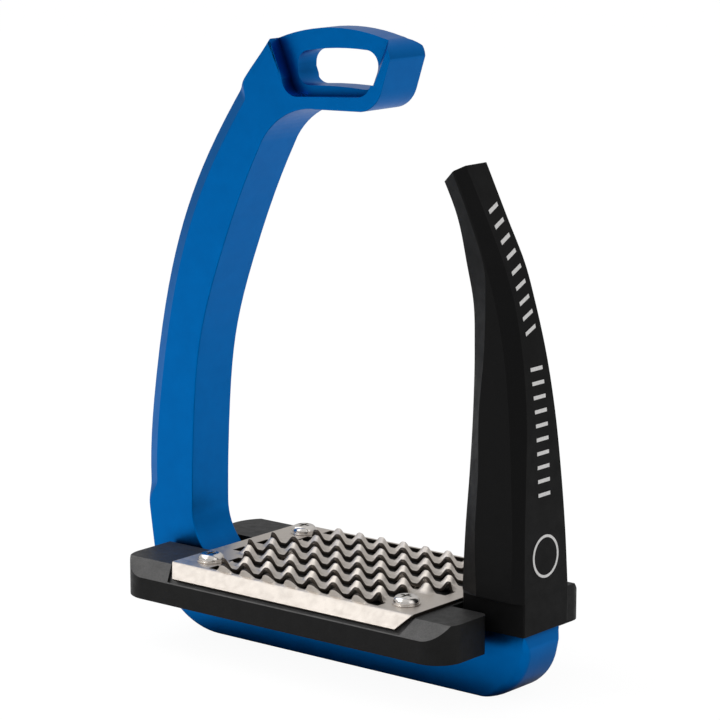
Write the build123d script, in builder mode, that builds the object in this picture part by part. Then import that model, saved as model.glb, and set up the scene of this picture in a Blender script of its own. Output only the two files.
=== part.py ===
from build123d import *
import os

os.makedirs("parts", exist_ok=True)

# Safety stirrup iron with a release arm, in millimetres.
# Origin: middle of the tread on the plane the base rests on. +X runs from the fixed branch to the
# release arm, +Y from front to back, +Z up to the eye that the stirrup leather passes through.

# ---------------------------------------------------------------- driving dimensions
FRAME_DEPTH = 17.6  # thickness of the alloy frame, front to back
BAR_TOP = 21.0  # top of the base bar under the tread
HEEL_RADIUS = 27.5  # big outer corner under the branch
TOE_RADIUS = 17.0  # outer corner under the release arm
INSTEP_RADIUS = 18.0  # inner corner where the bar turns up into the branch
BAND_LOW = 41.5  # the bevel along the outer edges of the branch runs from here
BAND_HIGH = 175.5  # to here
BAND_MIDDLE = -50.0  # middle and width of the window that holds that length
BAND_WIDTH = 60.0
BEVEL_IN = 4.4  # its width on the front and back faces
BEVEL_BACK = 1.9  # and on the outer face
EYE_RECESS = 4.4  # the eye's top bar is set back this far on both faces
RAMP_FOOT = 11.0  # where the ramp from the thin part to the full thickness starts, low down
RAMP_TOP = 15.0
SLOT_LEFT = -20.5  # slot for the leather, in the two faces
SLOT_RIGHT = 15.6
SLOT_SILL = (172.8, 175.0, 174.5)
SLOT_CORNER = 5.6
WEB_SLOT_LEFT = -17.7  # and through the web between them
WEB_SLOT_RIGHT = 14.2
WEB_SILL = (176.0, 176.9, 176.3)
WEB_SLOT_CORNER = 4.5
POCKET_LENGTH = 34.0  # lightening pocket in the top of the base bar
POCKET_WIDTH = 10.6
POCKET_DEPTH = 12.0

PAD_TOP = 27.4
PAD_BOTTOM = 15.7
PAD_LEFT = -67.0
PAD_RIGHT = 62.0
PAD_HALF_WIDTH = 35.2
PAD_LEFT_CORNER = 10.5  # front corners
PAD_RIGHT_CORNER = 9.0
PAD_FAR_LEFT_CORNER = 14.0  # back corners
PAD_FAR_RIGHT_CORNER = 5.5
PAD_SLOPE_RUN = 4.9  # sloped top edge of the long sides
PAD_SLOPE_DROP = 4.8
PAD_CLEARANCE = 0.3  # moulding clearance round the base bar

NOTCH_LEFT = 49.5  # the left notch, round the branch, is cut in this far from the middle
NOTCH_LEFT_HALF = 10.2
NOTCH_RIGHT = 48.3  # and the right notch, round the arm's foot, this far
NOTCH_RIGHT_HALF = 13.4
NOTCH_MOUTH = 2.5  # round corners at its mouth
INSERT_RADIUS = 3.0  # brass inserts moulded into the pad
INSERT_LENGTH = 8.0
INSERT_SINK = 0.2  # inserts sit this far below the face
INSERT_RELIEF = 1.0  # and their holes go this much deeper
CUP_RADIUS = 6.5  # cup washers over the bar
CUP_HEIGHT = 2.2
CUP_SEAT = 2.6  # depth of their counterbores in the pad
CSK_RADIUS = 4.6

PLATE_THICK = 1.0
PLATE_HALF_LENGTH = 47.3
PLATE_FOLD = 30.2  # half width at the folds
FLANGE_LENGTH = 6.0
FLANGE_TAPER = 3.6
FLANGE_ROOT = 0.3  # the flanges start this far inside the fold
SEAT_GAP = 0.7  # gap round the flanges in the pad's seats
SEAT_TAPER = 2.3
SEAT_DEPTH = 0.9
TOOTH_PITCH = 8.8
ROW_PITCH = 11.2
STRIP_HALF = 2.95  # half width of the strips between the slots
TOOTH_BASE = 7.6
TOOTH_FLANK = 4.8
TOOTH_ROOT = 0.2  # the teeth are rooted this deep in the sheet
OUTER_SLOT = 33.4  # half lengths of the slots in the tread, from the folds inwards
SHORT_SLOT = 34.3
LONG_SLOT = 42.2
SLOT_TO_FOLD = 0.8

WASHER_RADIUS = 4.3
WASHER_THICK = 0.5
SCREW_HEAD = 4.0
SCREW_HEAD_HEIGHT = 2.1
SCREW_HEAD_RIM = 0.3
SCREW_LENGTH = 10.0
CROSS_WIDTH = 0.9  # cross recess
CROSS_DEPTH = 1.5
TREAD_SCREW_X = 38.5
TREAD_SCREW_Y = 22.4
M4_RADIUS = 2.0
M4_CLEARANCE = 0.25  # radial clearance of through holes
HEAD_CLEARANCE = 0.3
M5_RADIUS = 2.5
PAD_SCREW_X = 25.0
PAD_SCREW_LENGTH = 16.0
TAP_DEPTH = 12.0  # holes tapped in the base bar for them
HEX_RADIUS = 1.7  # hexagon sockets

PIN_X = 68.2  # the arm's pivot
PIN_Z = 26.4
PIN_RADIUS = 2.5
PIN_CLEARANCE = 0.05
BUSH_RADIUS = 3.2
LEAF_THICK = 1.2
LEAF_WIDTH = 12.0
FOOT_CORNER = 5.0  # foot's round top corner, about the pivot
FOOT_INNER = 50.0
FOOT_HALF_WIDTH = 11.0
FOOT_INSERT_RADIUS = 2.9
FOOT_INSERT_SINK = 0.4
FOOT_SCREW_X = 54.0
FOOT_SCREW_Y = 4.2
FOOT_SCREW_HEAD = 3.5
FOOT_SCREW_HEAD_HEIGHT = 4.0
FOOT_SCREW_SINK = 0.4  # its head lies this far inside the bar
FOOT_SCREW_LENGTH = 28.0  # over the head
SLIDE_GAP = 0.4  # gap beside the leaf in the foot's slot
ARM_GAP = 0.2  # gap between the foot and the arm above it

plate_top = PAD_TOP + PLATE_THICK
csk_top = PAD_TOP - CUP_SEAT + CUP_HEIGHT
foot_top = PIN_Z + FOOT_CORNER
arm_bottom = foot_top + ARM_GAP
screw_spots = [(x, y) for x in (-TREAD_SCREW_X, TREAD_SCREW_X) for y in (-TREAD_SCREW_Y, TREAD_SCREW_Y)]
pad_screw_spots = [(-PAD_SCREW_X, 0), (PAD_SCREW_X, 0)]
foot_screw_spots = [(FOOT_SCREW_X, -FOOT_SCREW_Y), (FOOT_SCREW_X, FOOT_SCREW_Y)]


def flange_plane(side):
    """The inner face of one of the tread's flanges, which hang at 45 degrees from the folds."""
    start = (0, side * (PLATE_FOLD - FLANGE_ROOT), PAD_TOP)
    return Plane(origin=start, x_dir=(1, 0, 0), z_dir=(0, side, 1))


def flange_corners(side, margin, taper):
    """Corners of that flange, or of its seat with a margin all round."""
    top = PLATE_HALF_LENGTH + margin
    bottom = top - taper
    reach = side * (FLANGE_LENGTH + margin)
    return [(top, 0), (bottom, reach), (-bottom, reach), (-top, 0)]


def save(piece, label):
    """Label a finished piece and write it to its own STEP file."""
    piece.part.label = label
    export_step(piece.part, f"parts/{label}.step")


def slot_outline(left, right, sill_heights, corner):
    """The leather's slot seen from the front. Its sill is crowned and given by three heights."""
    with BuildSketch() as outline:
        with BuildLine():
            sill = ThreePointArc((left, sill_heights[0]), (-2.0, sill_heights[1]), (right - 2.4, sill_heights[2]))
            right_wall = Line(sill @ 1, (right, 187.9))
            lintel = ThreePointArc(right_wall @ 1, (0, 188.4), (left, 186.2))
            Line(lintel @ 1, sill @ 0)
        make_face()
        fillet(outline.vertices(), radius=corner)
    return outline.sketch


# ---------------------------------------------------------------- frame
# the frame seen from the front: base bar, bowed branch and the eye's outer outline
with BuildSketch() as frame_outline:
    with BuildLine():
        heel = JernArc((-48, 0), (-1, 0), HEEL_RADIUS, -82.5)
        branch_outside = Spline(
            heel @ 1, (-77.6, 42), (-75.2, 79), (-66.8, 118.5), (-52.9, 151.2), (-38.3, 173.8), (-30.5, 183.6),
            tangents=(heel % 1, (0.66, 0.75)),
        )
        shoulder = TangentArc(branch_outside @ 1, (-25.3, 190.0), tangent=branch_outside % 1)
        eye_top = ThreePointArc(shoulder @ 1, (-2.0, 194.3), (15.2, 192.2))
        top_corner = ThreePointArc(eye_top @ 1, (19.2, 190.2), (20.8, 186.4))
        eye_end = Line(top_corner @ 1, (17.6, 176.6))
        low_corner = ThreePointArc(eye_end @ 1, (14.9, 172.6), (10.0, 170.4))
        eye_under = Line(low_corner @ 1, (-7.0, 169.9))
        throat = ThreePointArc(eye_under @ 1, (-19.6, 167.1), (-28.8, 158.6))
        branch_inside = Spline(
            throat @ 1, (-35.2, 146.4), (-46.4, 120.4), (-54.7, 94.0), (-57.7, 68.0), (-58.6, 39.0),
            tangents=((-0.48, -0.88), (0, -1)),
        )
        instep = JernArc(branch_inside @ 1, (0, -1), INSTEP_RADIUS, 90)
        bar_top = Line(instep @ 1, (71.6, BAR_TOP))
        toe_side = Line(bar_top @ 1, (72.5, TOE_RADIUS))
        toe = JernArc(toe_side @ 1, (0, -1), TOE_RADIUS, -90)
        Line(toe @ 1, heel @ 0)
    make_face()

# the length of the branch that is bevelled
with BuildSketch() as band_window:
    with Locations((BAND_MIDDLE, (BAND_LOW + BAND_HIGH) / 2)):
        Rectangle(BAND_WIDTH, BAND_HIGH - BAND_LOW)

# that length on its own, with the long bevels down its two outer edges
with BuildPart() as branch_band:
    with BuildSketch(Plane.XZ):
        add(frame_outline.sketch)
        add(band_window.sketch, mode=Mode.INTERSECT)
    extrude(amount=FRAME_DEPTH / 2, both=True)
    for side in (Axis.Y, -Axis.Y):
        face = branch_band.faces().sort_by(side)[-1]
        long_edges = face.edges().filter_by(lambda edge: edge.length > 60)
        chamfer(long_edges.sort_by(Axis.X)[0], length=BEVEL_IN, length2=BEVEL_BACK, reference=face)

with BuildPart() as frame:
    with BuildSketch(Plane.XZ):
        add(frame_outline.sketch)
        add(band_window.sketch, mode=Mode.SUBTRACT)
    extrude(amount=FRAME_DEPTH / 2, both=True)
    add(branch_band.part)
    # slot for the stirrup leather, smaller through the web in the middle than in the two faces
    with BuildSketch(Plane.XZ):
        add(slot_outline(WEB_SLOT_LEFT, WEB_SLOT_RIGHT, WEB_SILL, WEB_SLOT_CORNER))
    extrude(amount=FRAME_DEPTH, both=True, mode=Mode.SUBTRACT)
    for side in (-1, 1):
        with BuildSketch(Plane.XZ.offset(side * (FRAME_DEPTH / 2 - EYE_RECESS))):
            add(slot_outline(SLOT_LEFT, SLOT_RIGHT, SLOT_SILL, SLOT_CORNER))
        extrude(amount=side * FRAME_DEPTH, mode=Mode.SUBTRACT)
    # the eye's top bar is thinner than the rest, so that the leather hangs flat. It widens up a ramp at its end
    for side in (-1, 1):
        for deep_end, depth in ((RAMP_FOOT, FRAME_DEPTH / 2 - EYE_RECESS), (RAMP_TOP, FRAME_DEPTH / 2)):
            with BuildSketch(Plane.XZ.offset(side * depth)):
                Polygon((-27.9, 196.5), (-20.4, 178.5), (deep_end, 178.5), (deep_end + 8.4, 196.5), align=None)
        loft(ruled=True, mode=Mode.SUBTRACT)
    # pocket that lightens the base bar
    with BuildSketch(Plane.XY.offset(BAR_TOP)):
        RectangleRounded(POCKET_LENGTH, POCKET_WIDTH, 3)
    extrude(amount=-POCKET_DEPTH, mode=Mode.SUBTRACT)
    # tapped holes for the screws that hold the pad down
    with Locations(*[(x, y, BAR_TOP) for x, y in pad_screw_spots]):
        Hole(M5_RADIUS, depth=TAP_DEPTH)
    # counterbored holes for the screws that hold the arm's foot
    with Locations(*[Location((x, y, 0), (180, 0, 0)) for x, y in foot_screw_spots]):
        CounterBoreHole(
            M4_RADIUS + M4_CLEARANCE,
            FOOT_SCREW_HEAD + HEAD_CLEARANCE,
            FOOT_SCREW_HEAD_HEIGHT + FOOT_SCREW_SINK,
            depth=BAR_TOP,
        )
save(frame, "frame")


# ---------------------------------------------------------------- tread pad
with BuildPart() as tread_pad:
    with BuildSketch(Plane.YZ.offset(PAD_LEFT)):
        with BuildLine():
            slope_top = PAD_HALF_WIDTH - PAD_SLOPE_RUN
            slope_foot = PAD_TOP - PAD_SLOPE_DROP
            Polyline((0, PAD_BOTTOM), (PAD_HALF_WIDTH, PAD_BOTTOM), (PAD_HALF_WIDTH, slope_foot),
                     (slope_top, PAD_TOP), (0, PAD_TOP))
            mirror(about=Plane.YZ)
        make_face()
    extrude(amount=PAD_RIGHT - PAD_LEFT)
    # rounded outline seen from above
    with BuildSketch(Plane.XY.offset(PAD_BOTTOM)) as pad_outline:
        with Locations(((PAD_LEFT + PAD_RIGHT) / 2, 0)):
            Rectangle(PAD_RIGHT - PAD_LEFT, 2 * PAD_HALF_WIDTH)
        fillet(pad_outline.vertices().group_by(Axis.X)[0].sort_by(Axis.Y)[0], radius=PAD_LEFT_CORNER)
        fillet(pad_outline.vertices().group_by(Axis.X)[0].sort_by(Axis.Y)[-1], radius=PAD_FAR_LEFT_CORNER)
        fillet(pad_outline.vertices().group_by(Axis.X)[-1].sort_by(Axis.Y)[0], radius=PAD_RIGHT_CORNER)
        fillet(pad_outline.vertices().group_by(Axis.X)[-1].sort_by(Axis.Y)[-1], radius=PAD_FAR_RIGHT_CORNER)
    extrude(amount=PAD_TOP, mode=Mode.INTERSECT)
    # notches for the branch and for the arm
    with BuildSketch(Plane.XY.offset(PAD_BOTTOM)):
        with Locations((PAD_LEFT, 0)):
            Rectangle(2 * (-PAD_LEFT - NOTCH_LEFT), 2 * NOTCH_LEFT_HALF)
        with Locations((PAD_RIGHT, 0)):
            Rectangle(2 * (PAD_RIGHT - NOTCH_RIGHT), 2 * NOTCH_RIGHT_HALF)
    extrude(amount=PAD_TOP, mode=Mode.SUBTRACT)
    upright_edges = tread_pad.edges().filter_by(Axis.Z)
    notch_mouth = upright_edges.filter_by_position(Axis.Y, -NOTCH_RIGHT_HALF - 1, NOTCH_RIGHT_HALF + 1)
    fillet(notch_mouth.group_by(Axis.X)[-1], radius=NOTCH_MOUTH)
    # channel that drops over the base bar and its inner corner
    with BuildSketch(Plane.XZ):
        with Locations((0, BAR_TOP + PAD_CLEARANCE)):
            Rectangle(200, 20, align=(Align.CENTER, Align.MAX))
        with Locations((instep.arc_center.X, instep.arc_center.Y)):
            Rectangle(40, 40, align=(Align.MAX, Align.MAX))
            Circle(INSTEP_RADIUS - PAD_CLEARANCE, mode=Mode.SUBTRACT)
    extrude(amount=FRAME_DEPTH / 2 + PAD_CLEARANCE, both=True, mode=Mode.SUBTRACT)
    # shallow seats under the tread's two flanges, with a thin lip left below them
    for side in (-1, 1):
        with BuildSketch(flange_plane(side).offset(-SEAT_DEPTH)):
            Polygon(*flange_corners(side, SEAT_GAP, SEAT_TAPER), align=None)
        extrude(amount=3, mode=Mode.SUBTRACT)
    # holes for the threaded inserts and for the screws and cup washers over the bar
    with Locations(*[(x, y, PAD_TOP) for x, y in screw_spots]):
        Hole(INSERT_RADIUS, depth=INSERT_LENGTH + INSERT_SINK + INSERT_RELIEF)
    with Locations(*[(x, y, PAD_TOP) for x, y in pad_screw_spots]):
        CounterBoreHole(
            M5_RADIUS + HEAD_CLEARANCE, CUP_RADIUS + HEAD_CLEARANCE, CUP_SEAT, depth=PAD_TOP - PAD_BOTTOM
        )
save(tread_pad, "tread_pad")

with BuildPart() as pad_inserts:
    with Locations(*[(x, y, PAD_TOP - INSERT_LENGTH - INSERT_SINK) for x, y in screw_spots]):
        Cylinder(INSERT_RADIUS, INSERT_LENGTH, align=(Align.CENTER, Align.CENTER, Align.MIN))
    with Locations(*[(x, y, PAD_TOP) for x, y in screw_spots]):
        Hole(M4_RADIUS, depth=INSERT_LENGTH + INSERT_RELIEF)
save(pad_inserts, "pad_inserts")

# cup washers and countersunk screws that hold the pad on the bar, under the tread
with BuildPart() as pad_cup_washers:
    with Locations(*[(x, y, PAD_TOP - CUP_SEAT) for x, y in pad_screw_spots]):
        Cylinder(CUP_RADIUS, CUP_HEIGHT, align=(Align.CENTER, Align.CENTER, Align.MIN))
    with Locations(*[(x, y, csk_top) for x, y in pad_screw_spots]):
        CounterSinkHole(M5_RADIUS + 0.1, CSK_RADIUS, depth=CUP_HEIGHT)
save(pad_cup_washers, "pad_cup_washers")

with BuildPart() as pad_screws:
    with Locations(*[(x, y, csk_top) for x, y in pad_screw_spots]):
        Cylinder(M5_RADIUS, PAD_SCREW_LENGTH, align=(Align.CENTER, Align.CENTER, Align.MAX))
        Cone(0.6, CSK_RADIUS - 0.1, CSK_RADIUS - 0.7, align=(Align.CENTER, Align.CENTER, Align.MAX))
    with BuildSketch(Plane.XY.offset(csk_top)):
        with Locations(*pad_screw_spots):
            RegularPolygon(HEX_RADIUS, 6)
    extrude(amount=-2.0, mode=Mode.SUBTRACT)
save(pad_screws, "pad_screws")

# ---------------------------------------------------------------- tread plate
# slots at these distances from the middle line, each with its half length
slot_rows = [(-2.5, OUTER_SLOT), (-1.5, SHORT_SLOT), (-0.5, LONG_SLOT),
             (0.5, LONG_SLOT), (1.5, SHORT_SLOT), (2.5, OUTER_SLOT)]

with BuildPart() as tread_plate:
    with BuildSketch(Plane.XY.offset(PAD_TOP)):
        Rectangle(2 * PLATE_HALF_LENGTH, 2 * PLATE_FOLD)
    extrude(amount=PLATE_THICK)
    # flanges bent down over the pad's sloped sides, narrower at the bottom
    for side in (-1, 1):
        with BuildSketch(flange_plane(side)):
            Polygon(*flange_corners(side, 0, FLANGE_TAPER), align=None)
        extrude(amount=PLATE_THICK)
    # slots
    with BuildSketch(Plane.XY.offset(PAD_TOP)):
        for row, half_length in slot_rows:
            inner = abs(row) * ROW_PITCH - (ROW_PITCH / 2 - STRIP_HALF)
            outer = min(abs(row) * ROW_PITCH + (ROW_PITCH / 2 - STRIP_HALF), PLATE_FOLD - SLOT_TO_FOLD)
            middle = (inner + outer) / 2 * (1 if row > 0 else -1)
            with Locations((0, middle)):
                Rectangle(2 * half_length, outer - inner)
    extrude(amount=PLATE_THICK, mode=Mode.SUBTRACT)
    with Locations(*[(x, y, plate_top) for x, y in screw_spots]):
        Hole(M4_RADIUS + M4_CLEARANCE, depth=PLATE_THICK)
    # teeth raised along both edges of every strip, staggered by half a pitch
    for strip in (-2, -1, 0, 1, 2):
        near_limit = 32 if strip in (-2, -1, 2) else 40
        far_limit = 36 if strip in (-1, 0) else 28
        for edge_y, shift, limit in ((strip * ROW_PITCH - STRIP_HALF, 0.5, near_limit),
                                     (strip * ROW_PITCH + STRIP_HALF - PLATE_THICK, 0, far_limit)):
            columns = [(n + shift) * TOOTH_PITCH for n in range(-5, 5) if abs((n + shift) * TOOTH_PITCH) < limit]
            with BuildSketch(Plane.XZ.offset(-edge_y)):
                with Locations(*[(x, plate_top - TOOTH_ROOT) for x in columns]):
                    Triangle(a=TOOTH_BASE, b=TOOTH_FLANK, c=TOOTH_FLANK, align=(Align.CENTER, Align.MIN))
            extrude(amount=-PLATE_THICK)
save(tread_plate, "tread_plate")

with BuildPart() as tread_washers:
    with Locations(*[(x, y, plate_top) for x, y in screw_spots]):
        Cylinder(WASHER_RADIUS, WASHER_THICK, align=(Align.CENTER, Align.CENTER, Align.MIN))
    with Locations(*[(x, y, plate_top + WASHER_THICK) for x, y in screw_spots]):
        Hole(M4_RADIUS + M4_CLEARANCE, depth=WASHER_THICK)
save(tread_washers, "tread_washers")

# one domed cross-recess screw, then the four of them
with BuildPart() as tread_screw:
    Cylinder(SCREW_HEAD, SCREW_HEAD_HEIGHT, align=(Align.CENTER, Align.CENTER, Align.MIN))
    fillet(tread_screw.edges().sort_by(Axis.Z)[-1], radius=SCREW_HEAD_HEIGHT - SCREW_HEAD_RIM)
    Cylinder(M4_RADIUS, SCREW_LENGTH, align=(Align.CENTER, Align.CENTER, Align.MAX))
    with BuildSketch(Plane.XY.offset(SCREW_HEAD_HEIGHT)):
        Rectangle(SCREW_HEAD, CROSS_WIDTH)
        Rectangle(CROSS_WIDTH, SCREW_HEAD)
    extrude(amount=-CROSS_DEPTH, mode=Mode.SUBTRACT)

with BuildPart() as tread_screws:
    with Locations(*[(x, y, plate_top + WASHER_THICK) for x, y in screw_spots]):
        add(tread_screw.part)
save(tread_screws, "tread_screws")

# ---------------------------------------------------------------- release arm's foot
# Block bolted to the outer end of the bar. Its slotted outer end holds the pivot pin.
with BuildPart() as arm_foot:
    with BuildSketch(Plane.XZ):
        with BuildLine():
            low_right = (PIN_X + FOOT_CORNER, BAR_TOP)
            side_line = Line(low_right, (PIN_X + FOOT_CORNER, PIN_Z))
            corner = JernArc(side_line @ 1, (0, 1), FOOT_CORNER, 90)
            Polyline(corner @ 1, (FOOT_INNER, foot_top), (FOOT_INNER, BAR_TOP), low_right)
        make_face()
    extrude(amount=FOOT_HALF_WIDTH, both=True)
    with BuildSketch(Plane.XY.offset(BAR_TOP)):
        with Locations((PIN_X - BUSH_RADIUS - LEAF_THICK - SLIDE_GAP, 0)):
            Rectangle(20, LEAF_WIDTH + 2 * SLIDE_GAP, align=(Align.MIN, Align.CENTER))
    extrude(amount=20, mode=Mode.SUBTRACT)
    with Locations(Location((PIN_X, 0, PIN_Z), (90, 0, 0))):
        Hole(PIN_RADIUS)
    with Locations(*[Location((x, y, BAR_TOP), (180, 0, 0)) for x, y in foot_screw_spots]):
        Hole(FOOT_INSERT_RADIUS, depth=FOOT_INSERT_SINK + INSERT_LENGTH + INSERT_SINK)
save(arm_foot, "arm_foot")

with BuildPart() as foot_inserts:
    with Locations(*[(x, y, BAR_TOP + FOOT_INSERT_SINK) for x, y in foot_screw_spots]):
        Cylinder(FOOT_INSERT_RADIUS, INSERT_LENGTH, align=(Align.CENTER, Align.CENTER, Align.MIN))
    with Locations(*[(x, y, BAR_TOP + FOOT_INSERT_SINK + INSERT_LENGTH) for x, y in foot_screw_spots]):
        Hole(M4_RADIUS, depth=INSERT_LENGTH)
save(foot_inserts, "foot_inserts")

# socket-head screws from underneath, their heads sunk into the base bar
with BuildPart() as foot_screws:
    with Locations(*[(x, y, FOOT_SCREW_SINK) for x, y in foot_screw_spots]):
        Cylinder(FOOT_SCREW_HEAD, FOOT_SCREW_HEAD_HEIGHT, align=(Align.CENTER, Align.CENTER, Align.MIN))
        Cylinder(M4_RADIUS, FOOT_SCREW_LENGTH, align=(Align.CENTER, Align.CENTER, Align.MIN))
    with BuildSketch(Plane.XY.offset(FOOT_SCREW_SINK)):
        with Locations(*foot_screw_spots):
            RegularPolygon(HEX_RADIUS, 6)
    extrude(amount=2.2, mode=Mode.SUBTRACT)
save(foot_screws, "foot_screws")

with BuildPart() as pivot_pin:
    with Locations(Location((PIN_X, 0, PIN_Z), (90, 0, 0))):
        Cylinder(PIN_RADIUS, 2 * FOOT_HALF_WIDTH - 0.6)
    chamfer(pivot_pin.edges().filter_by(GeomType.CIRCLE), length=0.4)
save(pivot_pin, "pivot_pin")

# ---------------------------------------------------------------- release arm
with BuildPart() as leaf_bush:
    with Locations(Location((PIN_X, 0, PIN_Z), (90, 0, 0))):
        Cylinder(BUSH_RADIUS, LEAF_WIDTH)
        Cylinder(PIN_RADIUS + PIN_CLEARANCE, LEAF_WIDTH, mode=Mode.SUBTRACT)
save(leaf_bush, "leaf_bush")

# Flat spring with an eye rolled round the bush. It bends outwards with the arm.
leaf_x = PIN_X - BUSH_RADIUS - LEAF_THICK / 2
with BuildPart() as arm_leaf:
    with BuildSketch(Plane.XZ):
        with BuildLine():
            Spline(
                (leaf_x, PIN_Z), (leaf_x + 0.2, 62), (leaf_x - 1.2, 86), (leaf_x - 5.2, 108), (leaf_x - 10.6, 124),
                tangents=((0, 1), (-0.4, 0.92)),
            )
        trace(line_width=LEAF_THICK)
        with Locations((PIN_X, PIN_Z)):
            Circle(BUSH_RADIUS + LEAF_THICK)
            Circle(BUSH_RADIUS, mode=Mode.SUBTRACT)
    extrude(amount=LEAF_WIDTH / 2, both=True)
    # holes that the moulded arm flows through
    for height in (60, 85, 108):
        with Locations(Location((leaf_x, 0, height), (0, 90, 0))):
            Hole(2.0)
save(arm_leaf, "arm_leaf")

# moulded elastomer arm over the leaf: wide at the root, curved in towards its tip
with BuildPart() as release_arm:
    with BuildSketch(Plane.XZ):
        with BuildLine():
            inside = Spline((49, arm_bottom), (50.0, 62), (50.7, 85), (49.6, 113), (45.3, 134), (38.2, 151.5))
            tip = Line(inside @ 1, (46.1, 157.0))
            outside = Spline(tip @ 1, (53.8, 142.0), (63.3, 121.2), (69.5, 94.0), (71.8, 62), (73.1, arm_bottom))
            Line(outside @ 1, inside @ 0)
        make_face()
    extrude(amount=20, both=True)
    # outline seen from the end
    with BuildSketch(Plane.YZ):
        with BuildLine():
            flank = Spline((13.5, arm_bottom), (12.6, 51), (10.8, 86), (9.1, 112), (8.3, 140), (8.0, 160))
            Polyline(flank @ 1, (0, 160), (0, arm_bottom), flank @ 0)
            mirror(about=Plane.YZ)
        make_face()
    extrude(amount=100, mode=Mode.INTERSECT)
    chamfer(release_arm.edges().filter_by(lambda edge: edge.length > 100), length=3.0)
    add(arm_leaf.part, mode=Mode.SUBTRACT)
save(release_arm, "release_arm")
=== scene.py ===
import bpy
import bmesh
import math
import numpy as np
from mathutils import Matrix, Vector


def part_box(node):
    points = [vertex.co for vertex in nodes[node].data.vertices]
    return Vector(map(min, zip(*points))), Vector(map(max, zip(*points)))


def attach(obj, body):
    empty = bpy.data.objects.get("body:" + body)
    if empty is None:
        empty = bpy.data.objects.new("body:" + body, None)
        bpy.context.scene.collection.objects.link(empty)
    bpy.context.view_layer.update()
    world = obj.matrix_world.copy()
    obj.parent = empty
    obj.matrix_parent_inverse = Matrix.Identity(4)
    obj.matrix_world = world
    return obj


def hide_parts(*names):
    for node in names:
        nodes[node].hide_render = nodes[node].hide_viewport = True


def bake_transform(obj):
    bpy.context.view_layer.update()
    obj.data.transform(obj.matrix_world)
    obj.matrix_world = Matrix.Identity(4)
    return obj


# Safety stirrup iron. Sizes are in millimetres, and are turned into metres where meshes and nodes are made.
MM = 0.001
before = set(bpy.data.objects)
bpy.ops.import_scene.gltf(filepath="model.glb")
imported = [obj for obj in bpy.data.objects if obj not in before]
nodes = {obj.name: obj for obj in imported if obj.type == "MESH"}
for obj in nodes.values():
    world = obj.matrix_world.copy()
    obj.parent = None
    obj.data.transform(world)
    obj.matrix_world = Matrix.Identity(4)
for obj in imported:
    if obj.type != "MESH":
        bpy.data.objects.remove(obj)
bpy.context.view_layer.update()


# ---------------------------------------------------------------- helpers
def box_mm(node):
    """Lowest and highest corner of a CAD node in millimetres."""
    low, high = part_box(node)
    return np.array(low) / MM, np.array(high) / MM


def add_object(name, data):
    obj = bpy.data.objects.new(name, data)
    bpy.context.scene.collection.objects.link(obj)
    return obj


def make_mesh(name, points_mm, faces):
    """A mesh object from millimetre points."""
    mesh = bpy.data.meshes.new(name)
    mesh.from_pydata([tuple(c * MM for c in p) for p in points_mm], [], faces)
    mesh.validate()
    return add_object(name, mesh)


def tidy_mesh(obj):
    """Merges doubled points and turns every face outwards."""
    bm = bmesh.new()
    bm.from_mesh(obj.data)
    bmesh.ops.remove_doubles(bm, verts=bm.verts, dist=1e-6)
    bmesh.ops.recalc_face_normals(bm, faces=bm.faces)
    bm.to_mesh(obj.data)
    bm.free()


def skin(name, rings):
    """A closed mesh object over rings of points that all have as many, with a flat cap at each end."""
    count = len(rings[0])
    faces = []
    for k in range(len(rings) - 1):
        for n in range(count):
            a, b = k * count + n, k * count + (n + 1) % count
            faces.append((a, b, b + count, a + count))
    last = (len(rings) - 1) * count
    faces += [tuple(range(count)), tuple(range(last, last + count))]
    obj = make_mesh(name, [point for ring in rings for point in ring], faces)
    tidy_mesh(obj)
    return obj


def modifier(obj, kind, **settings):
    mod = obj.modifiers.new(kind.title(), kind)
    for key, value in settings.items():
        setattr(mod, key, value)


def bevel(obj, width_mm, segments, over_degrees):
    """Rounds the edges that are sharper than an angle."""
    modifier(obj, "BEVEL", width=width_mm * MM, segments=segments,
             limit_method="ANGLE", angle_limit=math.radians(over_degrees))


def bake(obj):
    """Applies an object's modifiers."""
    bpy.context.view_layer.update()
    graph = bpy.context.evaluated_depsgraph_get()
    mesh = bpy.data.meshes.new_from_object(obj.evaluated_get(graph))
    obj.modifiers.clear()
    obj.data = mesh


def shade(obj, angle):
    """Smooth shading that keeps edges sharper than the angle, in degrees."""
    obj.data.shade_smooth()
    obj.data.set_sharp_from_angle(angle=math.radians(angle))


def paint(obj, material):
    obj.data.materials.clear()
    obj.data.materials.append(material)


def smooth(t):
    """0 below 0, 1 above 1 and an even curve between."""
    t = np.clip(t, 0, 1)
    return t * t * (3 - 2 * t)


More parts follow.
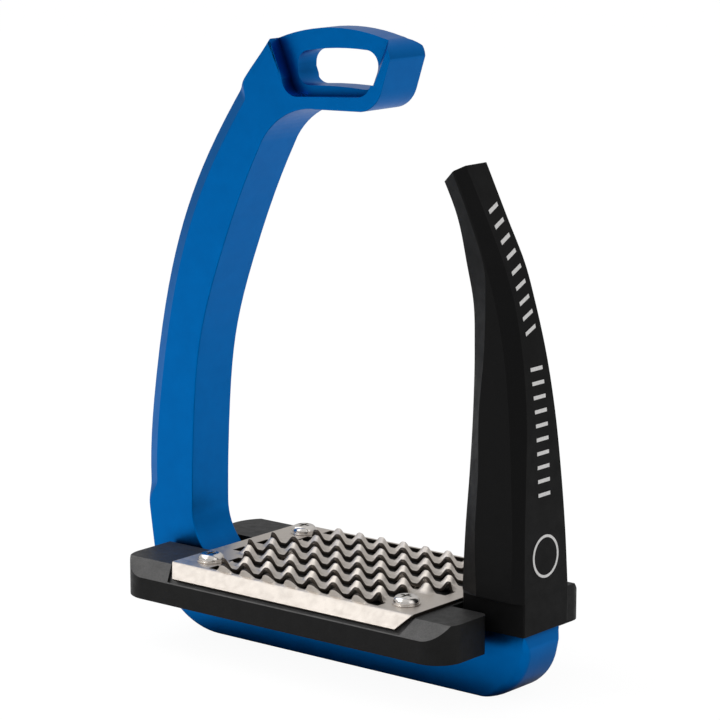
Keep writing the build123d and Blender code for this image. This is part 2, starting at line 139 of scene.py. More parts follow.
# ---------------------------------------------------------------- materials
class Nodes:
    """A short way to write a node material in object coordinates, in metres."""

    def __init__(self, name):
        self.material = bpy.data.materials.new(name)
        self.material.use_nodes = True
        self.tree = self.material.node_tree
        self.shader = self.tree.nodes["Principled BSDF"]
        self.place = self.add("ShaderNodeTexCoord").outputs["Object"]

    def add(self, kind, **settings):
        node = self.tree.nodes.new(kind)
        for key, value in settings.items():
            setattr(node, key, value)
        return node

    def link(self, source, target):
        self.tree.links.new(source, target)

    def feed(self, source, name):
        """Links a source to the shader's input of this name."""
        self.link(source, self.shader.inputs[name])

    def set(self, **values):
        for key, value in values.items():
            self.shader.inputs[key.replace("_", " ")].default_value = value

    def noise(self, size_mm, detail, rough=0.6, stretch=None):
        """Noise with features of about this size. Stretch is a factor on its frequency along x, y and z."""
        source = self.place
        if stretch:
            mapping = self.add("ShaderNodeMapping")
            mapping.inputs["Scale"].default_value = stretch
            self.link(source, mapping.inputs["Vector"])
            source = mapping.outputs["Vector"]
        node = self.add("ShaderNodeTexNoise")
        node.inputs["Scale"].default_value = 1.0 / (size_mm * MM)
        node.inputs["Detail"].default_value = detail
        node.inputs["Roughness"].default_value = rough
        self.link(source, node.inputs["Vector"])
        return node.outputs["Fac"]

    def ramp(self, value, stops):
        """Colours or greys by value, from (value, colour) stops."""
        node = self.add("ShaderNodeValToRGB")
        node.color_ramp.elements.remove(node.color_ramp.elements[1])
        for n, (at, colour) in enumerate(stops):
            element = node.color_ramp.elements[0] if n == 0 else node.color_ramp.elements.new(at)
            element.position = at
            element.color = (*colour, 1.0) if isinstance(colour, tuple) else (colour, colour, colour, 1.0)
        self.link(value, node.inputs["Fac"])
        return node.outputs["Color"]

    def bump(self, height, depth_mm):
        node = self.add("ShaderNodeBump")
        node.inputs["Strength"].default_value = 1.0
        node.inputs["Distance"].default_value = depth_mm * MM
        self.link(height, node.inputs["Height"])
        return node.outputs["Normal"]

    def calculate(self, operation, first, second=None):
        """Arithmetic on one source, or on two, where the second can be a number."""
        node = self.add("ShaderNodeMath", operation=operation)
        self.link(first, node.inputs[0])
        if isinstance(second, float):
            node.inputs[1].default_value = second
        elif second is not None:
            self.link(second, node.inputs[1])
        return node.outputs[0]

    def split(self, vector):
        """The X, Y and Z outputs of a vector."""
        node = self.add("ShaderNodeSeparateXYZ")
        self.link(vector, node.inputs[0])
        return node.outputs

    def mix(self, factor, a, b, mode="MIX"):
        """Mixes two colours. 6, 7 and output 2 are the mix node's colour sockets."""
        node = self.add("ShaderNodeMix", data_type="RGBA", blend_type=mode)
        for source, socket in ((factor, 0), (a, 6), (b, 7)):
            if isinstance(source, float):
                node.inputs[socket].default_value = source
            elif isinstance(source, tuple):
                node.inputs[socket].default_value = (*source, 1.0)
            else:
                self.link(source, node.inputs[socket])
        return node.outputs[2]


PAINTED_SHADE_REACH = 8  # painted shade: hollows narrower than this get a darker blue, which stands in for their shade
UNDER_SHEET = {"X": 45.5, "Y": 29.9}  # half sizes of the stretch of the pad that the steel sheet covers, which is painted dark as shade


def anodised_blue():
    m = Nodes("anodised_blue")
    m.set(Metallic=1.0, Specular_Tint=(0.8, 0.85, 0.95, 1.0))
    dye = m.ramp(m.noise(9, 3), [(0.3, (0.0, 0.133, 0.445)), (0.7, (0.0, 0.147, 0.485))])
    # painted shade: ambient occlusion darkens the blue in hollows and inside corners
    occlusion = m.add("ShaderNodeAmbientOcclusion")
    occlusion.inputs["Distance"].default_value = PAINTED_SHADE_REACH * MM
    painted_shade = m.ramp(occlusion.outputs["AO"], [(0.4, (0.2, 0.2, 0.24)), (0.92, (1.0, 1.0, 1.0))])
    m.feed(m.mix(1.0, dye, painted_shade, "MULTIPLY"), "Base Color")
    m.feed(m.ramp(m.noise(2.5, 4), [(0.3, 0.30), (0.7, 0.37)]), "Roughness")
    m.feed(m.bump(m.noise(0.35, 2), 0.006), "Normal")
    return m.material


def pad_rubber():
    m = Nodes("pad_rubber")
    m.set(Specular_IOR_Level=0.16)
    grain = m.noise(0.5, 4, 0.7)
    # painted light and shade: paler on the slopes than on the upright sides and the flat top, by which way
    # each face points
    steepness = m.split(m.add("ShaderNodeNewGeometry").outputs["Normal"])["Z"]
    painted_light_by_slope = m.ramp(steepness, [(0.1, 0.006), (0.6, 0.095), (0.8, 0.095), (0.98, 0.027)])
    base = m.mix(1.0, painted_light_by_slope, m.ramp(grain, [(0.3, (0.8, 0.8, 0.8)), (0.7, (1.25, 1.22, 1.2))]), "MULTIPLY")
    worn = m.ramp(m.noise(7, 4), [(0.35, 0.85), (0.75, 1.2)])
    open_air = m.mix(1.0, base, worn, "MULTIPLY")
    # painted shade: what lies under the steel sheet is painted near black
    place = m.split(m.place)
    inside = [m.calculate("LESS_THAN", m.calculate("ABSOLUTE", place[axis]), half * MM)
              for axis, half in UNDER_SHEET.items()]
    painted_shade_under_sheet = m.calculate("MULTIPLY", *inside)
    m.feed(m.mix(painted_shade_under_sheet, open_air, (0.003, 0.003, 0.003)), "Base Color")
    m.feed(m.ramp(m.noise(3, 4), [(0.3, 0.42), (0.7, 0.56)]), "Roughness")
    m.feed(m.bump(grain, 0.05), "Normal")
    return m.material


def arm_rubber():
    m = Nodes("arm_elastomer")
    m.set(Specular_IOR_Level=0.11)
    grain = m.noise(0.35, 4, 0.7)
    m.feed(m.ramp(grain, [(0.3, (0.0014, 0.0014, 0.0015)), (0.7, (0.0026, 0.0026, 0.0027))]), "Base Color")
    m.feed(m.ramp(m.noise(5, 4), [(0.3, 0.42), (0.7, 0.56)]), "Roughness")
    m.feed(m.bump(grain, 0.03), "Normal")
    return m.material


def metal(name, colour, rough, grain_mm, depth_mm, stretch=None):
    m = Nodes(name)
    m.set(Metallic=1.0)
    grain = m.noise(grain_mm, 4, 0.65, stretch)
    low = tuple(c * 0.90 for c in colour)
    m.feed(m.ramp(grain, [(0.3, low), (0.7, colour)]), "Base Color")
    m.feed(m.ramp(m.noise(2.0, 3), [(0.3, rough * 0.85), (0.7, rough * 1.2)]), "Roughness")
    m.feed(m.bump(grain, depth_mm), "Normal")
    return m.material


def white_print():
    m = Nodes("white_print")
    m.set(Roughness=0.5)
    m.feed(m.ramp(m.noise(0.4, 3), [(0.3, (0.62, 0.61, 0.60)), (0.7, (0.78, 0.77, 0.76))]), "Base Color")
    m.feed(m.bump(m.noise(0.3, 2), 0.01), "Normal")
    return m.material


def floor_paper():
    m = Nodes("floor_paper")
    m.set(Roughness=0.9, Specular_IOR_Level=0.1)
    m.feed(m.ramp(m.noise(3, 2), [(0.3, (0.84, 0.84, 0.84)), (0.7, (0.86, 0.86, 0.86))]), "Base Color")
    # overexposed for the camera, so that only a faint shadow is left
    glow = m.add("ShaderNodeEmission")
    glow.inputs["Strength"].default_value = 1.05
    mixed = m.add("ShaderNodeMixShader")
    seen = m.add("ShaderNodeLightPath").outputs["Is Camera Ray"]
    m.link(m.calculate("MULTIPLY", seen, 0.9), mixed.inputs[0])
    m.link(m.shader.outputs[0], mixed.inputs[1])
    m.link(glow.outputs[0], mixed.inputs[2])
    m.link(mixed.outputs[0], m.tree.nodes["Material Output"].inputs["Surface"])
    return m.material


BLUE = anodised_blue()
PAD = pad_rubber()
ARM = arm_rubber()
TREAD = metal("tread_steel", (0.62, 0.57, 0.52), 0.46, 0.5, 0.03)
POLISHED = metal("polished_steel", (0.78, 0.74, 0.70), 0.18, 1.2, 0.004)
WASHER = metal("washer_steel", (0.68, 0.64, 0.60), 0.26, 0.8, 0.006)
SPRING = metal("spring_steel", (0.30, 0.31, 0.34), 0.3, 0.6, 0.004, (1, 1, 0.1))
BRASS = metal("insert_brass", (0.75, 0.55, 0.26), 0.3, 0.5, 0.01)
SHADED_CUT_EDGE = metal("shaded_cut_steel", (0.075, 0.062, 0.052), 0.5, 0.3, 0.03)  # cut edges of the sheet, painted dark as the shade they lie in, partly also the darker sheared steel
PRINT = white_print()

# ---------------------------------------------------------------- frame
HALF_DEPTH = box_mm("frame")[1][1]
EDGE = 0.45  # broken edges
BEVEL_ACROSS, BEVEL_BACK = 4.4, 1.9  # long bevels on the branch's outer edges: over the face, down the side
BEVEL_LOW, BEVEL_LOW_FADE = 38.0, 8.0  # height of their lower end, and how much further up they are full
BEVEL_HIGH, BEVEL_HIGH_FADE = 177.5, 4.5  # the same at the upper end, downwards
BRANCH_SIDE = -25.0  # the branch is left of this
TOE_X, TOE_Z, TOE_FADE, TOE_ROUND = 56.0, 22.5, 9.0, 2.2  # rounder edges on the bar's end below the arm
BAR_TOP = 21.0
POCKET_HALF_LENGTH = 32.0
RECESS = 4.4  # the eye's top bar is set back this far from each face
RECESS_LEFT = [(-27.9, 196.5), (-20.4, 178.5)]  # its left side, from above the eye down into the slot
RAMP_FOOT, RAMP_TOP, RAMP_LEAN = 11.0, 16.8, 8.4  # its right side at full depth and in the face, and its lean
RIM_CORNERS = [(-20.5, 172.9), (13.2, 174.9), (15.6, 187.9), (-20.5, 186.6)]  # the wider slot in both faces
RIM_RADIUS = 5.6
BORE_ROOM, BORE_DEPTH, BORE_SIDES = 0.3, 4.4, 48  # counterbores in the underside: room round a screw's head
BEYOND = 2.0  # cutters reach this far past the surface that they start from


def section_loops(node, y_mm):
    """Closed outlines of a CAD node where the plane at this Y cuts it, as (x, z) in millimetres."""
    bm = bmesh.new()
    bm.from_mesh(nodes[node].data)
    bmesh.ops.remove_doubles(bm, verts=bm.verts, dist=1e-6)
    bmesh.ops.bisect_plane(bm, geom=bm.verts[:] + bm.edges[:] + bm.faces[:],
                           plane_co=(0, y_mm * MM, 0), plane_no=(0, 1, 0), clear_outer=True)
    edges = [e for e in bm.edges if e.is_boundary]
    loops = []
    while edges:
        first, here = edges.pop().verts
        chain = [first]
        while here is not first:
            chain.append(here)
            following = next(e for e in here.link_edges if e in edges)
            edges.remove(following)
            here = following.other_vert(here)
        loops.append([(v.co.x / MM, v.co.z / MM) for v in chain])
    bm.free()
    return loops


def area(loop):
    """Area inside an outline, negative when it runs clockwise."""
    x, z = np.array(loop).T
    return 0.5 * float(np.sum(x * np.roll(z, -1) - z * np.roll(x, -1)))


def fine_loop(loop, step=0.9, nearest=0.1):
    """The same outline with no points closer together than the nearest and no gaps longer than the step."""
    kept = [loop[0]]
    for p in loop[1:]:
        if math.dist(p, kept[-1]) > nearest:
            kept.append(p)
    points = []
    for p, q in zip(kept, kept[1:] + kept[:1]):
        parts = max(1, math.ceil(math.dist(p, q) / step))
        points += [(p[0] + (q[0] - p[0]) * k / parts, p[1] + (q[1] - p[1]) * k / parts) for k in range(parts)]
    return np.array(points)


def outward(points):
    """Unit normals of an anticlockwise outline, and how much further a corner's offset point has to go."""
    before = points - np.roll(points, 1, axis=0)
    after = np.roll(points, -1, axis=0) - points
    before /= np.linalg.norm(before, axis=1)[:, None]
    after /= np.linalg.norm(after, axis=1)[:, None]
    n1 = np.stack([before[:, 1], -before[:, 0]], 1)
    n2 = np.stack([after[:, 1], -after[:, 0]], 1)
    middle = n1 + n2
    middle /= np.linalg.norm(middle, axis=1)[:, None]
    return middle, 1 / np.clip(np.sum(middle * n1, axis=1), 0.5, 1)


def frame_rings(points):
    """Rings of points from the front face round the edge to the back face, with an edge that varies."""
    normal, miter = outward(points)
    x, z = points.T
    faces_left = normal[:, 0] < -0.2
    beveled = smooth((z - BEVEL_LOW) / BEVEL_LOW_FADE) * smooth((BEVEL_HIGH - z) / BEVEL_HIGH_FADE)
    beveled = beveled * faces_left * (x < BRANCH_SIDE)
    toe = TOE_ROUND * smooth((x - TOE_X) / TOE_FADE) * smooth((TOE_Z - z) / TOE_FADE) * (z < BAR_TOP - 1)
    across = EDGE + (BEVEL_ACROSS - EDGE) * beveled + toe
    back = EDGE + (BEVEL_BACK - EDGE) * beveled + toe
    rings = []
    # degrees round the edge where it is round, and share of the way where it is a flat bevel
    for turn, along in ((0, 0.0), (22.5, 0.06), (45, 0.5), (67.5, 0.94), (90, 1.0)):
        a = math.radians(turn)
        inset = across * ((1 - beveled) * (1 - math.sin(a)) + beveled * (1 - along))
        drop = back * ((1 - beveled) * (1 - math.cos(a)) + beveled * along)
        rings.append((points - normal * (inset * miter)[:, None], HALF_DEPTH - drop))
    return [np.column_stack([outline[:, 0], side * depth, outline[:, 1]])
            for side, order in ((-1, rings), (1, rings[::-1])) for outline, depth in order]


def rounded(corners, radius, steps=8):
    """A quadrilateral's outline with round corners."""
    points = []
    for k, corner in enumerate(corners):
        before = (Vector(corners[k - 1]) - Vector(corner)).normalized()
        after = (Vector(corners[(k + 1) % 4]) - Vector(corner)).normalized()
        half_angle = before.angle(after) / 2
        middle = Vector(corner) + (before + after).normalized() * radius / math.sin(half_angle)
        reach = radius / math.tan(half_angle)
        start, end = (Vector(corner) + way * reach - middle for way in (before, after))
        for step in range(steps + 1):
            t = step / steps
            points.append(tuple(middle + (start * (1 - t) + end * t).normalized() * radius))
    return points


def cutter(name, outline, y_from, y_to, far_outline=None):
    """Prism between two Y planes from an (x, z) outline, or from one outline to another."""
    ends = ((outline, y_from), (far_outline or outline, y_to))
    return skin(name, [[(x, y, z) for x, z in corners] for corners, y in ends])


def recess_outline(ramp_x):
    return RECESS_LEFT + [(ramp_x, RECESS_LEFT[1][1]), (ramp_x + RAMP_LEAN, RECESS_LEFT[0][1])]


def eye_cutters(slot_loop):
    """Cutters of the slot through the web, and of the wider slot and the recess in both faces."""
    tools = [cutter("cut_web", slot_loop, -HALF_DEPTH - BEYOND, HALF_DEPTH + BEYOND)]
    rim = rounded(RIM_CORNERS, RIM_RADIUS)
    recess, recess_in_face = recess_outline(RAMP_FOOT), recess_outline(RAMP_TOP)
    for side in (-1, 1):
        deep, outside = side * (HALF_DEPTH - RECESS), side * (HALF_DEPTH + BEYOND)
        # the recess is a hair shallower, so that the two floors are not in one plane
        shallower = deep + side * 0.01
        tools.append(cutter("cut_rim", rim, deep, outside))
        tools.append(cutter("cut_recess", recess, shallower, outside, recess_in_face))
    return tools


def bore_cutters():
    """Cutters of the counterbores in the underside, one round each screw's head."""
    low, high = box_mm("foot_screws")
    head_radius = (high[0] - low[0]) / 2
    radius = head_radius + BORE_ROOM
    turns = [math.tau * k / BORE_SIDES for k in range(BORE_SIDES)]
    circle = [(radius * math.cos(a), radius * math.sin(a)) for a in turns]
    tools = []
    for y in (low[1] + head_radius, high[1] - head_radius):
        tool = cutter("cut_bore", circle, -BEYOND, BORE_DEPTH)
        tool.rotation_euler = (math.radians(90), 0, 0)  # stands the prism upright
        tool.location = ((low[0] + high[0]) / 2 * MM, y * MM, 0)
        tools.append(tool)
    return tools


def build_frame():
    outer_loop, slot_loop = sorted(section_loops("frame", 0.0), key=lambda loop: -abs(area(loop)))[:2]
    # the pocket and the tapped holes in the bar's top are under the pad, so the top is closed over them
    outer_loop = [(x, z) for x, z in outer_loop
                  if abs(x) >= POCKET_HALF_LENGTH or not 0.3 < z < BAR_TOP - 0.1]
    if area(outer_loop) < 0:
        outer_loop = outer_loop[::-1]
    body = skin("frame_body", frame_rings(fine_loop(outer_loop)))
    tools = eye_cutters(slot_loop) + bore_cutters()
    for tool in tools:
        modifier(body, "BOOLEAN", operation="DIFFERENCE", object=tool, solver="MANIFOLD")
    bake(body)
    for tool in tools:
        bpy.data.objects.remove(tool)
    tidy_mesh(body)
    bevel(body, 0.3, 2, 38)
    bake(body)
    shade(body, 40)
    modifier(body, "WEIGHTED_NORMAL", keep_sharp=True)
    return body


frame_body = build_frame()
paint(frame_body, BLUE)
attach(frame_body, "frame")
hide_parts("frame")

# ---------------------------------------------------------------- tread plate
PLATE_TOP = box_mm("tread_washers")[0][2]
HALF_LENGTH = box_mm("tread_plate")[1][0]
SHEET = 0.95  # thickness
LENGTH_STEPS = 345
FOLD, FOLD_ARC = 30.2, 0.9  # half width at the folds, and the way round each fold's bend
FLANGE_WAYS = (0.45, 0.9, 1.6, 3.0, 4.6, 6.2)  # grid lines beyond the fold. The last is the flange's edge
FLANGE_TAPER = 3.6  # each end of a flange's edge is this much short of the fold's end
PITCH, ROW = 8.8, 11.2  # spacing of the teeth along a row, and of the strips between the slots
STRIP = 2.95  # half width of a strip
STRIP_STEPS = (0.2, 0.42, 0.62, 0.78, 0.9, 1)  # grid lines across half a strip, closer at its edges
SLOTS = {0.5: 42.2, 1.5: 34.3, 2.5: 33.4}  # half lengths of the slots, by rows from the middle
TOOTH_HEIGHT, TOOTH_LENGTH = 2.75, 2.7  # rise at a strip's edge, and how far in from the edge it starts
HILL_TOP, HILL_FOOT = 0.3, 3.7  # half widths of a tooth at its crest and at its foot
SLOT_END_ROOM = 1.2  # the teeth stop this far from the ends of their slot
BORDER = 0.8  # strip along the fold that the border's own teeth rise from
BORDER_HEIGHT, BORDER_LEAN, BORDER_REACH = 2.3, 1.5, 30.5  # rise, lean over the fold, half length of the row


def hill(x):
    """One tooth of the wave: a round-topped hill with flat valleys beside it."""
    x = np.abs((x + PITCH / 2) % PITCH - PITCH / 2)
    fall = np.clip((x - HILL_TOP) / (HILL_FOOT - HILL_TOP), 0, 1)
    return (0.5 + 0.5 * np.cos(np.pi * fall)) ** 0.9


def sheet_lines():
    """Lengthwise grid lines as (y, way): y up to the fold, and the way beyond it, down the flange."""
    flat = [side * (FOLD - inset) for side in (-1, 1) for inset in (0, BORDER / 2, BORDER)]
    for strip in range(-2, 3):
        flat += [strip * ROW + side * step * STRIP for side in (-1, 1) for step in (0, *STRIP_STEPS)]
    near = [(-FOLD, way) for way in FLANGE_WAYS[::-1]]
    far = [(FOLD, way) for way in FLANGE_WAYS]
    return near + [(y, 0.0) for y in sorted(set(flat))] + far


def flange_line(xs, side, way):
    """Points of a line on a flange. The fold has a small radius, then the flange falls at 45 degrees."""
    half_arc, edge = FOLD_ARC / 2, FLANGE_WAYS[-1]
    taper = FLANGE_TAPER / HALF_LENGTH * max(0.0, way - half_arc) / (edge - half_arc)
    radius = FOLD_ARC / (math.pi / 4)
    turn = min(way, FOLD_ARC) / radius
    straight = max(0.0, way - FOLD_ARC) * math.sqrt(0.5)
    y = side * (FOLD + radius * math.sin(turn) + straight)
    z = PLATE_TOP - radius * (1 - math.cos(turn)) - straight
    return [(x * (1 - taper), y, z) for x in xs]


def flat_line(xs, y):
    """Points of a line on the flat part, raised where teeth rise."""
    ys, zs = np.full_like(xs, y), np.full_like(xs, PLATE_TOP)
    strip = round(y / ROW)
    off = y - strip * ROW
    if abs(off) <= STRIP + 1e-6:
        # the teeth on a strip's two edges are half a pitch apart, and fade out over a row's last millimetre
        for edge, shift in ((-1, 0.5), (1, 0.0)):
            reach = SLOTS[abs(strip + edge * 0.5)] - SLOT_END_ROOM
            lift = np.clip(1 - (STRIP - edge * off) / TOOTH_LENGTH, 0, 1) ** 1.2
            zs += TOOTH_HEIGHT * lift * hill(xs - shift * PITCH) * smooth(reach - np.abs(xs))
    elif y < -FOLD + BORDER + 0.1:
        # the near border's own teeth lean out over the fold
        wave = (y + FOLD) / BORDER * hill(xs) * smooth(BORDER_REACH - np.abs(xs))
        zs += BORDER_HEIGHT * wave
        ys -= BORDER_LEAN * wave
    return np.column_stack([xs, ys, zs])


def slot_reach(y):
    """Half length of the slot at this y of the flat part, or 0 where there is none."""
    for row, reach in SLOTS.items():
        low = row * ROW - (ROW / 2 - STRIP)
        high = min(row * ROW + (ROW / 2 - STRIP), FOLD - BORDER)
        if low < abs(y) < high:
            return reach
    return 0.0


def tread_sheet():
    """Top surface of the pressed sheet: the flat part with its slots and teeth, and the two flanges."""
    xs = np.linspace(-HALF_LENGTH, HALF_LENGTH, LENGTH_STEPS)
    lines = sheet_lines()
    points = np.vstack([flange_line(xs, math.copysign(1, y), way) if way else flat_line(xs, y)
                        for y, way in lines])
    faces = []
    for j, ((y, way), (next_y, next_way)) in enumerate(zip(lines, lines[1:])):
        reach = 0.0 if way or next_way else slot_reach((y + next_y) / 2)
        for i in range(LENGTH_STEPS - 1):
            if abs(xs[i] + xs[i + 1]) / 2 >= reach:
                a = j * LENGTH_STEPS + i
                faces.append((a, a + 1, a + LENGTH_STEPS + 1, a + LENGTH_STEPS))
    return make_mesh("tread_sheet", points.tolist(), faces)


tread = tread_sheet()
tidy_mesh(tread)
# the rims, which are the cut edges, take the second material: painted shade, partly the darker sheared steel
modifier(tread, "SOLIDIFY", thickness=SHEET * MM, offset=-1, use_even_offset=True, material_offset_rim=1)
bevel(tread, 0.16, 2, 50)
paint(tread, TREAD)
tread.data.materials.append(SHADED_CUT_EDGE)
bake(tread)
shade(tread, 50)
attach(tread, "frame")
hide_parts("tread_plate")

# ---------------------------------------------------------------- CAD nodes that are shown with softer edges
for name, material, edge in (
    ("tread_pad", PAD, 0.4),
    ("tread_screws", POLISHED, 0.12),
    ("tread_washers", WASHER, 0.15),
    ("pad_cup_washers", WASHER, 0.15),
    ("pad_screws", POLISHED, 0.12),
    ("foot_screws", POLISHED, 0.12),
    ("pad_inserts", BRASS, 0.1),
    ("foot_inserts", BRASS, 0.1),
    ("pivot_pin", POLISHED, 0.1),
    ("leaf_bush", BRASS, 0.1),
):
    node = nodes[name]
    paint(node, material)
    modifier(node, "WELD", merge_threshold=1e-6)
    bevel(node, edge, 3, 25)
    modifier(node, "WEIGHTED_NORMAL")

# ---------------------------------------------------------------- release arm
# Outline of the moulded arm by height: x and half width of the inner face, x of the flank's two edges and
# their half width, x and half width of the outer face
ARM_SHAPE = np.array([
    (32, 49.0, 9.0, 57.6, 70.2, 13.6, 73.1, 10.9),
    (50, 49.4, 8.3, 56.2, 69.8, 12.7, 72.4, 10.2),
    (68, 50.2, 7.4, 56.6, 68.6, 11.9, 71.6, 8.8),
    (86, 50.6, 6.5, 55.9, 66.8, 10.8, 70.4, 7.1),
    (104, 50.2, 5.5, 56.7, 63.9, 9.6, 67.7, 5.8),
    (118, 49.2, 5.0, 56.7, 60.5, 9.1, 64.3, 5.0),
    (128, 46.9, 5.0, 56.2, 57.2, 9.0, 60.9, 5.0),
    (142, 43.2, 5.0, 50.2, 51.0, 8.2, 54.0, 4.8),
    (158, 35.2, 5.0, 42.4, 43.2, 8.1, 45.8, 5.0),
])
INNER_X, INNER_HALF, FLANK_IN, FLANK_OUT, FLANK_HALF, OUTER_X, OUTER_HALF = range(7)
ARM_EDGES = ((INNER_X, INNER_HALF), (FLANK_IN, FLANK_HALF), (FLANK_OUT, FLANK_HALF), (OUTER_X, OUTER_HALF))
TIP_TILT = 0.709  # rise over run of the slanted end
TILT_LOW, TILT_FADE = 112.0, 42.6  # the rings tilt more and more above this height
ARM_LOW, ARM_HIGH, TIP = 33.5, 153.6, 154.6
BOOT_CORNERS = [(49.6, 9.4), (50.9, 10.9), (72.8, 11.0), (73.12, 10.7)]  # x and half width
BOOT_LOW, LEDGE = 21.5, 31.5  # heights of the boot's underside and of the ledge where the arm stands on it
LEAF_CUTS = range(32, 128, 2)  # heights where the flat spring is cut, so that it can bend too


def arm_at(z):
    """Row of the arm's outline at a height, on a smooth curve through the rows above."""
    heights = ARM_SHAPE[:, 0]
    k = int(np.clip(np.searchsorted(heights, z) - 1, 0, len(heights) - 2))
    slopes = np.gradient(ARM_SHAPE[:, 1:], heights, axis=0)
    span = heights[k + 1] - heights[k]
    t = (z - heights[k]) / span
    a, b = ARM_SHAPE[k, 1:], ARM_SHAPE[k + 1, 1:]
    h = np.array([2 * t**3 - 3 * t**2 + 1, t**3 - 2 * t**2 + t, -2 * t**3 + 3 * t**2, t**3 - t**2])
    return h[0] * a + h[1] * span * slopes[k] + h[2] * b + h[3] * span * slopes[k + 1]


def both_sides(corners):
    """A ring from the near side's corners: the same ones come back along the far side."""
    return [(x, -y, z) for x, y, z in corners] + [(x, y, z) for x, y, z in corners[::-1]]


def arm_ring(z):
    """Eight points round the arm. Towards the tip the rings tilt like the arm's slanted end."""
    tilt = TIP_TILT * float(smooth((z - TILT_LOW) / TILT_FADE))
    middle = (arm_at(z)[INNER_X] + arm_at(z)[OUTER_X]) / 2
    corners = []
    for x, half in ARM_EDGES:
        height = z
        for _ in range(4):  # closes in on the point of the tilted ring that lies on this edge
            height = z + tilt * (arm_at(height)[x] - middle)
        row = arm_at(height)
        corners.append((row[x], row[half], height))
    return both_sides(corners)


def boot_ring(z, inset=0.0):
    """Eight points round the boot that covers the foot."""
    middle = (BOOT_CORNERS[0][0] + BOOT_CORNERS[-1][0]) / 2
    return both_sides([(x + math.copysign(inset, middle - x), y - inset, z) for x, y in BOOT_CORNERS])


def build_arm():
    rings = [boot_ring(BOOT_LOW - 0.25, 0.9)] + [boot_ring(z) for z in (BOOT_LOW, 24, 28, LEDGE)]
    rings += [arm_ring(z) for z in (LEDGE + 0.5, *np.linspace(ARM_LOW, ARM_HIGH, 66), TIP)]
    skinned = skin("arm_skin", rings)
    bevel(skinned, 0.45, 3, 14)
    bake(skinned)
    shade(skinned, 35)
    modifier(skinned, "WEIGHTED_NORMAL", keep_sharp=True)
    bake(skinned)
    return skinned


arm_skin = build_arm()
paint(arm_skin, ARM)
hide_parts("release_arm", "arm_foot")


def bending_leaf():
    """The flat spring inside the arm, with rows of points along it."""
    strip = add_object("leaf_strip", nodes["arm_leaf"].data.copy())
    bm = bmesh.new()
    bm.from_mesh(strip.data)
    bmesh.ops.remove_doubles(bm, verts=bm.verts, dist=1e-6)
    for height in LEAF_CUTS:
        bmesh.ops.bisect_plane(bm, geom=bm.verts[:] + bm.edges[:] + bm.faces[:],
                               plane_co=(0, 0, height * MM), plane_no=(0, 0, 1))
    bm.to_mesh(strip.data)
    bm.free()
    return strip


leaf = bending_leaf()
paint(leaf, SPRING)
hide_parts("arm_leaf")

# ---------------------------------------------------------------- printed marks on the arm
# generic marks on the outer face: a row of slanted bars, a row of level bars, and a ring
PROUD = 0.04  # height of the print's middle over the face
BAR_ROWS = (  # how many, height of the lowest, spacing, half length, slant
    (9, 110.5, 4.3, 2.6, 0.35),
    (10, 62.5, 4.1, 2.9, 0.0),
)
BAR_WIDTH, BAR_STEPS = 1.1, 6
RING_HEIGHT, RING_RADII, RING_STEPS = 44.0, (5.6, 6.4), 48


def on_face(y, z):
    """Point of the arm's outer face, as far proud of it as the print."""
    return (float(arm_at(z)[OUTER_X]) + PROUD, y, z)


def bar_pairs(z, half_length, slant):
    """Pairs of points along the two edges of a bar."""
    ys = [half_length * (2 * k / BAR_STEPS - 1) for k in range(BAR_STEPS + 1)]
    return [[on_face(y, z + slant * y + side * BAR_WIDTH / 2) for side in (-1, 1)] for y in ys]


def ring_pairs():
    """Pairs of points round the two edges of the ring, back to the first pair."""
    turns = [math.tau * (k % RING_STEPS) / RING_STEPS for k in range(RING_STEPS + 1)]
    return [[on_face(r * math.cos(a), RING_HEIGHT + r * math.sin(a)) for r in RING_RADII] for a in turns]


def printed_marks():
    ribbons = [bar_pairs(low + spacing * k, half_length, slant)
               for count, low, spacing, half_length, slant in BAR_ROWS for k in range(count)]
    points, faces = [], []
    for pairs in ribbons + [ring_pairs()]:
        base = len(points)
        points += [point for pair in pairs for point in pair]
        faces += [(n, n + 2, n + 3, n + 1) for n in range(base, len(points) - 2, 2)]
    return make_mesh("arm_marks", points, faces)


marks = printed_marks()
tidy_mesh(marks)
modifier(marks, "SOLIDIFY", thickness=2 * PROUD * MM, offset=0)
bake(marks)
paint(marks, PRINT)

for piece in (arm_skin, leaf, marks):
    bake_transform(piece)

# ---------------------------------------------------------------- stage, light and camera
FLOOR_LEFT, FLOOR_RIGHT, FLOOR_NEAR, FLOOR_FAR = -4000, 4000, -4000, 6000
WORLD_LEVEL, WORLD_OVERHEAD = 0.45, 0.7  # strength of the surroundings
OVERHEAD_FROM = 0.7  # upward part of a direction that counts as overhead
CENTRE = (0.0, 0.0, 0.09)  # in metres, as are all the places below
AIM = Vector((-0.0062, 0.0111, 0.0908))
AZIMUTH, ELEVATION, DISTANCE = math.radians(39.0), math.radians(11.32), 0.9328

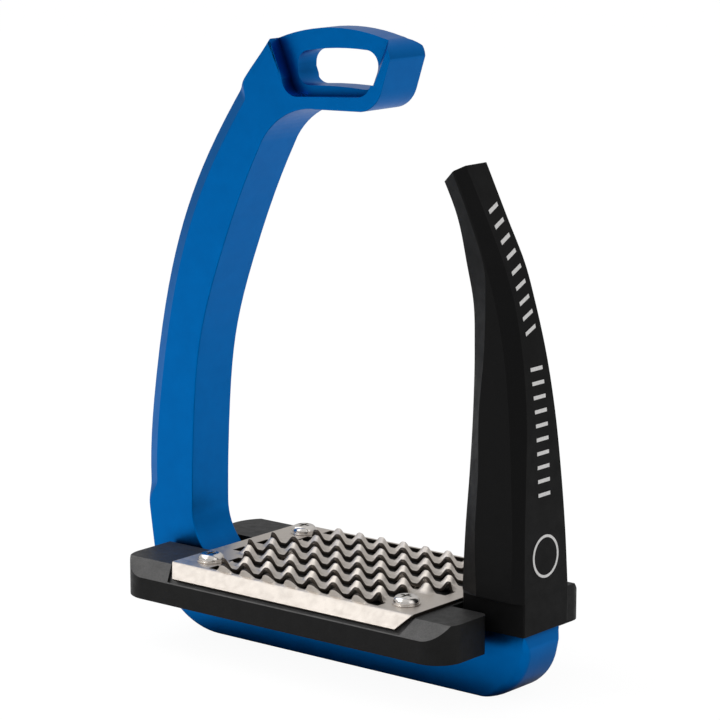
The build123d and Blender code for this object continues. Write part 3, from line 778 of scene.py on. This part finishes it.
floor = make_mesh("floor", [(x, y, 0) for x in (FLOOR_LEFT, FLOOR_RIGHT) for y in (FLOOR_NEAR, FLOOR_FAR)],
                  [(0, 2, 3, 1)])
paint(floor, floor_paper())


def studio_world():
    """White surroundings that are a little brighter overhead."""
    world = bpy.data.worlds.new("studio")
    world.use_nodes = True
    tree = world.node_tree
    sky = tree.nodes["Background"]
    sky.inputs["Color"].default_value = (1.0, 1.0, 1.0, 1.0)
    ways = tree.nodes.new("ShaderNodeTexCoord")
    up = tree.nodes.new("ShaderNodeSeparateXYZ")
    fade = tree.nodes.new("ShaderNodeMapRange")
    for name, value in (("From Max", OVERHEAD_FROM), ("To Min", WORLD_LEVEL), ("To Max", WORLD_OVERHEAD)):
        fade.inputs[name].default_value = value
    tree.links.new(ways.outputs["Generated"], up.inputs[0])
    tree.links.new(up.outputs["Z"], fade.inputs["Value"])
    tree.links.new(fade.outputs["Result"], sky.inputs["Strength"])
    return world


def soft_light(name, location, width, height, power):
    """A rectangular lamp that faces the object's centre."""
    data = bpy.data.lights.new(name, "AREA")
    data.shape = "RECTANGLE"
    data.size, data.size_y = width, height
    data.energy = power
    lamp = add_object(name, data)
    lamp.location = location
    lamp.rotation_euler = (Vector(CENTRE) - Vector(location)).to_track_quat("-Z", "Y").to_euler()


bpy.context.scene.world = studio_world()
soft_light("key", (-0.5, -1.1, 1.0), 0.9, 0.9, 2.5)
soft_light("glint", (-0.4, -0.9, 0.7), 0.12, 0.12, 1.2)
soft_light("fill", (1.3, -0.2, 0.6), 0.8, 1.0, 1.5)
soft_light("top", (-0.86, -0.27, 1.15), 1.1, 1.1, 5)

camera_data = bpy.data.cameras.new("camera")
camera_data.lens = 151.3
camera_data.sensor_width = 36.0
camera = add_object("camera", camera_data)
level = math.cos(ELEVATION)
back = Vector((math.sin(AZIMUTH) * level, -math.cos(AZIMUTH) * level, math.sin(ELEVATION)))
camera.location = AIM + back * DISTANCE
camera.rotation_euler = back.to_track_quat("Z", "Y").to_euler()
bpy.context.scene.camera = camera
bpy.context.scene.view_settings.view_transform = "Standard"

bpy.context.view_layer.update()
